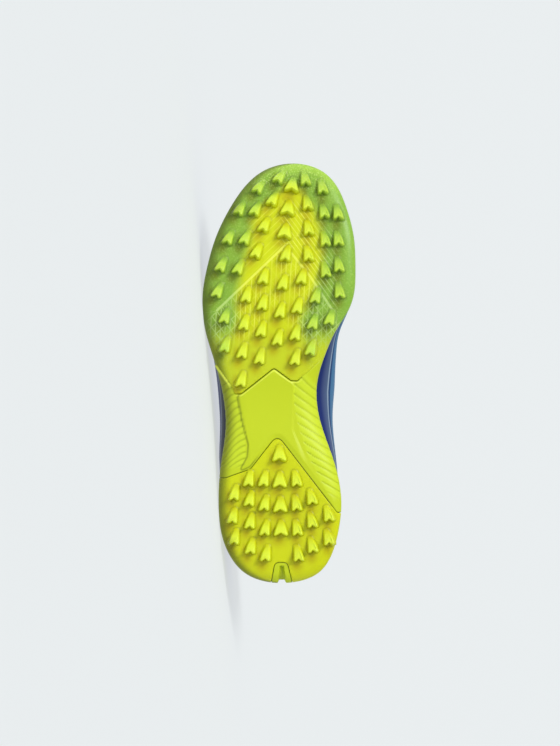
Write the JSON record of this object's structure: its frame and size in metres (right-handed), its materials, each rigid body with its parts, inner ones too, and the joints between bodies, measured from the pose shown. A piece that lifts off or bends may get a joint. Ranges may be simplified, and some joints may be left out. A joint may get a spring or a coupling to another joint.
{
  "type": "football shoe",
  "caption": "Right football shoe for artificial turf, lying on its lateral side: lugged rubber tread on a foam midsole, low hollow upper with tongue and laces.",
  "frame": {"origin": "centre of the bounding box in plan, on the floor that the shoe lies on", "axes": "the toe points to -X, the sole faces -Y, and the medial side is up, +Z"},
  "size_m": [0.2866, 0.1088, 0.1068],
  "materials": {
    "outsole_forefoot": "moulded rubber, lime yellow fading to green at the rim",
    "outsole_heel": "moulded rubber, lime yellow",
    "midsole": "moulded foam with a satin skin",
    "upper": "smooth synthetic leather",
    "insole": "knitted cover on foam",
    "tongue": "woven cover on foam",
    "laces": "flat woven lace"
  },
  "bodies": {
    "root": {"outsole_forefoot": "outsole_forefoot", "outsole_heel": "outsole_heel", "midsole": "midsole", "upper": "upper", "insole": "insole", "tongue": "tongue", "laces": "laces"}
  },
  "joints": []
}
